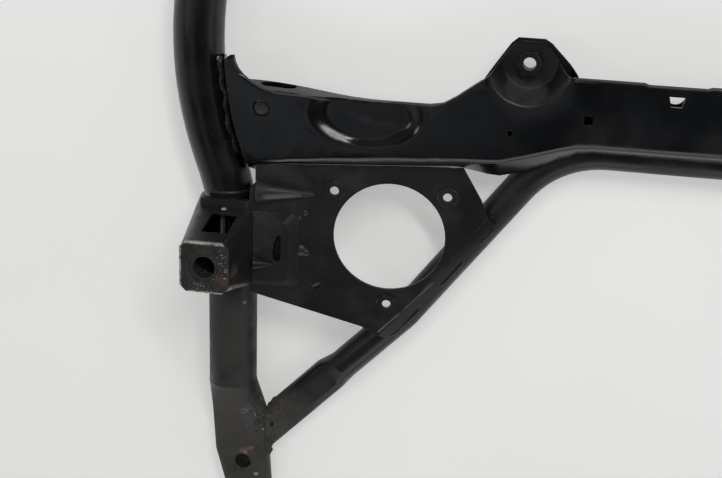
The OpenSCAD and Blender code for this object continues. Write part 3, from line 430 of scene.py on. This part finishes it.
coat_weld = coat("coat_weld", dust=0.5, wear=0.4, rough=0.36, base=2.4, dust_and_painted_light_colour=SOIL,
                 specks=both([((-390, -262, 28), 46)]),
                 dust_and_painted_light_spots=both([((-385, -280, 25), 70, 0.9)]))
coat_lump = coat("coat_lump", dust=0.35, wear=0.5, rough=0.36, base=4.0)
left_pad_coat = worn_coat("left_pad_coat", -1)
right_pad_coat = worn_coat("right_pad_coat", 1)
coat_nut = coat("coat_nut", dust=0.12, wear=0.5, rough=0.42, base=1.3, gloss=0.3)
sleeve_steel = dull_steel("sleeve_steel", (0.012, 0.0115, 0.01, 1), 0.6)

FINISH = {
    "upper_shell": coat_shell, "lower_shell": coat_lower, "brace": coat_brace,
    "rail": coat_rail, "plate": coat_plate, "foot": coat_foot, "tower": coat_tower,
    "left_pad": left_pad_coat, "right_pad": right_pad_coat,
    "left_bush": left_pad_coat, "right_bush": right_pad_coat,
    "ear_nut": coat_nut, "rear_sleeve": sleeve_steel, "front_sleeve": sleeve_steel,
}


SMOOTH_ANGLE = 32
WELD_REACH = 1e-5
FLAT_WEIGHT = 90


def smoothing():
    """Node group that shades a mesh smooth and keeps its sharp edges."""
    g = bpy.data.node_groups.new("smooth_by_angle", "GeometryNodeTree")
    g.interface.new_socket("Geometry", in_out="INPUT", socket_type="NodeSocketGeometry")
    g.interface.new_socket("Geometry", in_out="OUTPUT", socket_type="NodeSocketGeometry")
    i = g.nodes.new("NodeGroupInput")
    o = g.nodes.new("NodeGroupOutput")
    faces = g.nodes.new("GeometryNodeSetShadeSmooth")
    faces.domain = "FACE"
    edges = g.nodes.new("GeometryNodeSetShadeSmooth")
    edges.domain = "EDGE"
    angle = g.nodes.new("GeometryNodeInputMeshEdgeAngle")
    less = g.nodes.new("FunctionNodeCompare")
    less.data_type = "FLOAT"
    less.operation = "LESS_THAN"
    less.inputs[1].default_value = math.radians(SMOOTH_ANGLE)
    g.links.new(i.outputs[0], faces.inputs["Geometry"])
    g.links.new(faces.outputs[0], edges.inputs["Geometry"])
    g.links.new(angle.outputs["Unsigned Angle"], less.inputs[0])
    g.links.new(less.outputs[0], edges.inputs["Shade Smooth"])
    g.links.new(edges.outputs[0], o.inputs[0])
    return g


smooth_group = smoothing()
for name, obj in nodes.items():
    key = name if name in FINISH else name.split("_", 1)[1]
    obj.data.materials.clear()
    obj.data.materials.append(FINISH[key])
    weld = obj.modifiers.new("weld", "WELD")
    weld.merge_threshold = WELD_REACH
    smooth = obj.modifiers.new("smooth", "NODES")
    smooth.node_group = smooth_group
    even = obj.modifiers.new("flat_faces", "WEIGHTED_NORMAL")
    even.keep_sharp = True
    even.weight = FLAT_WEIGHT


# Added pieces: weld beads, spatter, lumps and lips

def tree_of(names):
    bm = bmesh.new()
    for n in names:
        bm.from_mesh(nodes[n].data)
    bvh = BVHTree.FromBMesh(bm)
    bm.free()
    return bvh


ALL = tree_of(nodes)


# Height in metres from which a place is looked up on the part.
DROP_FROM = 0.3


def drop(x, y):
    """The point and normal on the part straight below a plan point in mm, source y."""
    above = Vector((x * MM, (y + Y_SHIFT) * MM, DROP_FROM))
    hit, normal, _, _ = ALL.ray_cast(above, Vector((0, 0, -1)))
    return hit, normal


def add_piece(name, bm, material):
    mesh = bpy.data.meshes.new(name)
    bm.normal_update()
    bm.to_mesh(mesh)
    bm.free()
    for p in mesh.polygons:
        p.use_smooth = True
    mesh.materials.append(material)
    obj = bpy.data.objects.new(name, mesh)
    scene.collection.objects.link(obj)
    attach(obj, "root")
    return obj


def resample(points, step):
    out = [points[0]]
    for a, b in zip(points, points[1:]):
        n = max(1, round(math.dist(a, b) / step))
        out += [tuple(a[k] + (b[k] - a[k]) * i / n for k in range(len(a))) for i in range(1, n + 1)]
    return out


# Weld bead: sides of its rings, points a ripple, and its shares of the radius.
BEAD_SIDES, BEAD_PITCH = 10, 2.6
BEAD_WIDE, BEAD_HIGH, BEAD_LIFT, BEAD_STRAY = 1.2, 0.75, 0.35, 0.12


def bead(bm, path, r, rng):
    """Weld bead along 3-D points in metres: rings with ripples, sunk into the joint, closed at both ends."""
    rings = []
    n = len(path)
    phase = rng.random() * 6
    for i, p in enumerate(path):
        tangent = (path[min(i + 1, n - 1)] - path[max(i - 1, 0)]).normalized()
        side = tangent.cross(Vector((0, 0, 1)))
        side = side.normalized() if side.length > 1e-6 else Vector((1, 0, 0))
        up = side.cross(tangent).normalized()
        ripple = abs(math.sin(i * math.pi * 0.9 / BEAD_PITCH + phase))
        taper = min(1.0, 0.35 + 0.3 * min(i, n - 1 - i))
        k = r * MM * taper * (0.82 + 0.24 * ripple + 0.1 * (rng.random() - 0.5))
        c = p + side * (rng.random() - 0.5) * BEAD_STRAY * r * MM + up * k * (BEAD_LIFT - 0.5)
        turns = [2 * math.pi * j / BEAD_SIDES for j in range(BEAD_SIDES)]
        rings.append([bm.verts.new(c + side * k * BEAD_WIDE * math.cos(a) + up * k * BEAD_HIGH * math.sin(a))
                      for a in turns])
    skin(bm, rings)


def skin(bm, rings):
    """Faces between rings of points, closed at both ends."""
    n = len(rings[0])
    for a, b in zip(rings, rings[1:]):
        for j in range(n):
            bm.faces.new((a[j], a[(j + 1) % n], b[(j + 1) % n], b[j]))
    bm.faces.new(list(reversed(rings[0])))
    bm.faces.new(rings[-1])


def on_surface(points):
    out = []
    for x, y in points:
        hit, _ = drop(x, y)
        if hit is not None:
            out.append(hit)
    return out


def mirrored(points):
    return [points, [(-x, y) for x, y in points]]


# Flattened rear rail end, source mm: where it starts, how long it is, and its inner edge at both ends.
END_FROM, END_RUN, END_IN, END_TIP_IN = -210, 100, 388.4, 382.0


def rail_inner(y):
    """Inner edge of the flattened rear rail end."""
    return END_IN - (END_IN - END_TIP_IN) * (END_FROM - y) / END_RUN


# Seams: distances from the rail's and the brace's axis, the tower's front edge, and spacing of points.
SHELL_SEAM, BRACE_SEAM, TOWER_SEAM_Y = -23.2, -6.5, 43.4
PLATE_STEP, SEAM_STEP = 1.5, 1.4
seams = {
    "weld_rail_shell": [([(rail_axis(y) + SHELL_SEAM + 0.5 * math.sin(y / 3.3) + 0.5 * math.sin(y / 7.9), y)
                         for y in range(82, 180, 2)], 3.7)],
    "weld_rail_brace": [([(rail_inner(y) + 1.0, y) for y in range(-262, -206, 2)], 4.8)],
    "weld_plate_brace": [
        (resample([by_low(16, BRACE_SEAM), by_low(2, BRACE_SEAM), by_diag(160, BRACE_SEAM)],
                  PLATE_STEP), 2.2),
        (resample([by_diag(128, BRACE_SEAM), by_diag(92, BRACE_SEAM)], PLATE_STEP), 2.2),
        (resample([by_diag(70, BRACE_SEAM), by_diag(44, BRACE_SEAM)], PLATE_STEP), 2.2),
    ],
    "weld_tower_rail": [([(RAIL_X + dx, TOWER_SEAM_Y) for dx in range(-23, 24, 2)], 2.2)],
}
rng = random.Random(7)
for name, runs in seams.items():
    bm = bmesh.new()
    for points, r in runs:
        for pts in mirrored(resample(points, SEAM_STEP)):
            path = on_surface(pts)
            if len(path) > 4:
                bead(bm, path, r, rng)
    add_piece(name, bm, coat_weld)


# Drops: share of the radius that is sunk into the surface, and their flatness.
DROP_SUNK, DROP_FLAT = 0.25, 0.7


def spatter(name, places, material):
    """Small drops of weld metal, each sunk into the surface below it."""
    bm = bmesh.new()
    for x, y, r in places:
        hit, normal = drop(x, y)
        if hit is None:
            continue
        m = Matrix.Translation(hit - normal * r * DROP_SUNK * MM)
        m = m @ normal.to_track_quat("Z", "Y").to_matrix().to_4x4()
        m = m @ Matrix.Diagonal((1, 1, DROP_FLAT, 1))
        bmesh.ops.create_icosphere(bm, subdivisions=2, radius=r * MM, matrix=m)
    return add_piece(name, bm, material)


BRACE_DROPS, SHELL_DROPS = 46, 16
places = []
for k in (1, -1):
    for _ in range(BRACE_DROPS):
        y = rng.uniform(-268, -206)
        places.append((k * (rail_inner(y) + rng.gauss(-6, 7)), y, rng.uniform(0.5, 1.5)))
    for _ in range(SHELL_DROPS):
        y = rng.uniform(90, 180)
        places.append((k * (rail_axis(y) - 17 + rng.gauss(0, 7)), y, rng.uniform(0.4, 0.9)))
spatter("weld_spatter", places, coat_weld)

# Lumps of weld metal at the joint of rail and brace: plan place in mm, source y, and radius.
JOINT_LUMPS = [
    (393, -192, 5.0), (387, -194, 4.4), (381, -197, 4.8), (372, -196, 5.4), (366, -193, 4.2),
    (360, -194, 3.4), (396, -200, 4.0), (396, -222, 4.6), (394, -214, 3.4), (390, -228, 3.0),
    (396, -253, 3.2), (389, -205, 4.0), (377, -204, 3.2), (366, -203, 3.0), (384, -214, 2.6),
    (375, -219, 2.4), (397, -232, 3.0), (402, -205, 2.8),
]
# Lumps on the mount plate beside the tower foot.
PLATE_LUMPS = [(342.5, 31.3, 3.6), (348, 26, 2.6), (346.5, -8.2, 7.5), (341, -10.5, 4.5)]
spatter("joint_lumps", [(k * x, y, r) for k in (1, -1) for x, y, r in JOINT_LUMPS], coat_weld)
spatter("plate_lumps", [(k * x, y, r) for k in (1, -1) for x, y, r in PLATE_LUMPS], coat_lump)


# Folded edge beside the tower's front opening: two places on the front wall in model mm, the wall's normal,
# its section in shares of width and thickness, and its number of steps.
LIP = ((-420, -24.5, 72), (-408, -31.2, 113))
LIP_OUT = (0, 0.987, 0.16)
LIP_WIDTH, LIP_THICK, LIP_STEPS = 4.2, 1.6, 8
LIP_SECTION = ((-0.5, -1), (0.5, -1), (0.5, -0.3), (0.3, 0), (-0.3, 0), (-0.5, -0.3))


def lip(bm, side):
    a, b = (Vector((-side * p[0], p[1], p[2])) * MM for p in LIP)
    out = Vector(LIP_OUT)
    along = (b - a).normalized()
    across = along.cross(out).normalized()
    rings = []
    for i in range(LIP_STEPS + 1):
        c = a.lerp(b, i / LIP_STEPS)
        rings.append([bm.verts.new(c + across * u * LIP_WIDTH * MM + out * v * LIP_THICK * MM)
                      for u, v in LIP_SECTION])
    skin(bm, rings)


bm = bmesh.new()
for k in (1, -1):
    lip(bm, k)
bmesh.ops.recalc_face_normals(bm, faces=bm.faces)
add_piece("tower_lips", bm, coat_lump)


# Floor, light and camera

# Floor: half its length and its drop in metres, two shades of paint, and its glow.
FLOOR_HALF, FLOOR_DROP = 40, 0.0006
FLOOR_LOW, FLOOR_HIGH = (0.72, 0.72, 0.705, 1), (0.75, 0.75, 0.74, 1)
FLOOR_GLOW, GLOW_TINT = 0.375, (1.0, 1.0, 0.98, 1)


def floor():
    bm = bmesh.new()
    bmesh.ops.create_grid(bm, x_segments=1, y_segments=1, size=FLOOR_HALF)
    mesh = bpy.data.meshes.new("floor")
    bm.to_mesh(mesh)
    bm.free()
    t = Tree("floor_paint")
    shade = t.mix(t.span(t.noise(3, 3), 0.3, 0.7), FLOOR_LOW, FLOOR_HIGH)
    t.put(t.bsdf.inputs["Base Color"], shade)
    t.bsdf.inputs["Roughness"].default_value = 0.8
    path = t.nt.nodes.new("ShaderNodeLightPath")
    seen = t.math("MAXIMUM", path.outputs["Is Camera Ray"], path.outputs["Is Glossy Ray"])
    seen = t.math("MAXIMUM", seen, path.outputs["Is Transmission Ray"])
    t.bsdf.inputs["Emission Color"].default_value = GLOW_TINT
    t.put(t.bsdf.inputs["Emission Strength"], t.math("MULTIPLY", seen, FLOOR_GLOW))
    mesh.materials.append(t.mat)
    obj = bpy.data.objects.new("floor", mesh)
    obj.location.z = -FLOOR_DROP
    scene.collection.objects.link(obj)


# Sky by the height of its direction: pale low down and dark above. Its top is cooler and brighter to the
# left, and its far side is dimmed.
SKY_LOW, SKY_TOP = (0.0, (1.0, 1.0, 0.99, 1)), (0.97, (0.05, 0.052, 0.056, 1))
SKY_BETWEEN = ((0.42, (1.0, 1.0, 1.0, 1)), (0.6, (0.13, 0.133, 0.14, 1)))
SKY_COOL = (0.62, 0.69, 0.76, 1)
COOL_LEFT, COOL_HEIGHT = (0.0, -0.24), (0.86, 0.94)
FAR_SPAN, FAR_DIM = (0.35, 0.85), 0.3
SKY_STRENGTH = 0.58


def world():
    w = bpy.data.worlds.new("studio")
    scene.world = w
    w.use_nodes = True
    nt = w.node_tree
    nt.nodes.clear()
    out = nt.nodes.new("ShaderNodeOutputWorld")
    bg = nt.nodes.new("ShaderNodeBackground")
    co = nt.nodes.new("ShaderNodeTexCoord")
    sep = nt.nodes.new("ShaderNodeSeparateXYZ")
    ramp = nt.nodes.new("ShaderNodeValToRGB")
    e = ramp.color_ramp.elements
    e[0].position, e[0].color = SKY_LOW
    e[1].position, e[1].color = SKY_TOP
    for height, colour in SKY_BETWEEN:
        e.new(height).color = colour
    nt.links.new(co.outputs["Generated"], sep.inputs[0])
    nt.links.new(sep.outputs[2], ramp.inputs[0])
    side = nt.nodes.new("ShaderNodeMapRange")
    side.interpolation_type = "SMOOTHSTEP"
    side.inputs["From Min"].default_value = COOL_LEFT[0]
    side.inputs["From Max"].default_value = COOL_LEFT[1]
    nt.links.new(sep.outputs[0], side.inputs["Value"])
    top = nt.nodes.new("ShaderNodeMapRange")
    top.inputs["From Min"].default_value = COOL_HEIGHT[0]
    top.inputs["From Max"].default_value = COOL_HEIGHT[1]
    nt.links.new(sep.outputs[2], top.inputs["Value"])
    corner = nt.nodes.new("ShaderNodeMath")
    corner.operation = "MULTIPLY"
    nt.links.new(side.outputs["Result"], corner.inputs[0])
    nt.links.new(top.outputs["Result"], corner.inputs[1])
    cool = nt.nodes.new("ShaderNodeMix")
    cool.data_type = "RGBA"
    cool.inputs[7].default_value = SKY_COOL
    nt.links.new(corner.outputs[0], cool.inputs["Factor"])
    nt.links.new(ramp.outputs[0], cool.inputs[6])
    far = nt.nodes.new("ShaderNodeMapRange")
    far.inputs["From Min"].default_value = FAR_SPAN[0]
    far.inputs["From Max"].default_value = FAR_SPAN[1]
    far.inputs["To Min"].default_value = 1.0
    far.inputs["To Max"].default_value = FAR_DIM
    nt.links.new(sep.outputs[1], far.inputs["Value"])
    dim = nt.nodes.new("ShaderNodeVectorMath")
    dim.operation = "SCALE"
    nt.links.new(cool.outputs[2], dim.inputs[0])
    nt.links.new(far.outputs["Result"], dim.inputs["Scale"])
    nt.links.new(dim.outputs[0], bg.inputs["Color"])
    bg.inputs["Strength"].default_value = SKY_STRENGTH
    nt.links.new(bg.outputs[0], out.inputs[0])


def lamp(name, at, aim, size, watts, long=None, tint=(1, 1, 1)):
    """Rectangular lamp; long is the direction of its first side, else that side is level."""
    data = bpy.data.lights.new(name, "AREA")
    data.shape = "RECTANGLE"
    data.size, data.size_y = size
    data.energy = watts
    data.color = tint
    obj = bpy.data.objects.new(name, data)
    obj.location = at
    out = (Vector(at) - Vector(aim)).normalized()
    side = Vector(long) if long else Vector((0, 0, 1)).cross(out)
    side = (side - out * side.dot(out)).normalized()
    obj.rotation_euler = Matrix((side, out.cross(side), out)).transposed().to_euler()
    scene.collection.objects.link(obj)


# Camera: its place in metres, its axes before the roll in degrees, and its focal length in pixels.
CAMERA_AT = (-0.0772, 0.39485, 1.23305)
CAMERA_BACK = (0.16318, 0.34202, 0.92542)
CAMERA_RIGHT = (0.98481, 0, -0.17365)
CAMERA_UP = (-0.05939, 0.93969, -0.33682)
CAMERA_ROLL = 2
FOCAL_PX, VIEW_PX, SENSOR = 1300, 722, 36


def camera():
    back, right, up = Vector(CAMERA_BACK), Vector(CAMERA_RIGHT), Vector(CAMERA_UP)
    roll = math.radians(CAMERA_ROLL)
    r = right * math.cos(roll) + up * math.sin(roll)
    u = up * math.cos(roll) - right * math.sin(roll)
    data = bpy.data.cameras.new("camera")
    data.sensor_fit = "HORIZONTAL"
    data.sensor_width = SENSOR
    data.lens = FOCAL_PX / VIEW_PX * SENSOR
    data.clip_start = 0.01
    obj = bpy.data.objects.new("camera", data)
    m = Matrix((r, u, back)).transposed().to_4x4()
    m.translation = Vector(CAMERA_AT)
    obj.matrix_world = m
    scene.collection.objects.link(obj)
    scene.camera = obj


floor()
world()
DENT_PLACE = (-0.31, 0.06, 0.05)
lamp("left", at=(-1.8, 0.19, 1.87), aim=(-0.24, 0.07, 0.05), size=(0.4, 0.4), watts=2.4)
lamp("front", at=(0.21, 1.21, 1.33), aim=DENT_PLACE, size=(1.15, 0.15), watts=12.5, long=(0.77, -0.6, 0.23))
lamp("warm", at=(-0.31, 1.21, 1.7), aim=DENT_PLACE, size=(1.7, 0.9), watts=1.6, tint=(1, 0.87, 0.83))
lamp("fill", at=(-0.2, -2.4, 1.5), aim=(-0.1, 0, 0), size=(2.4, 1.2), watts=13)
camera()
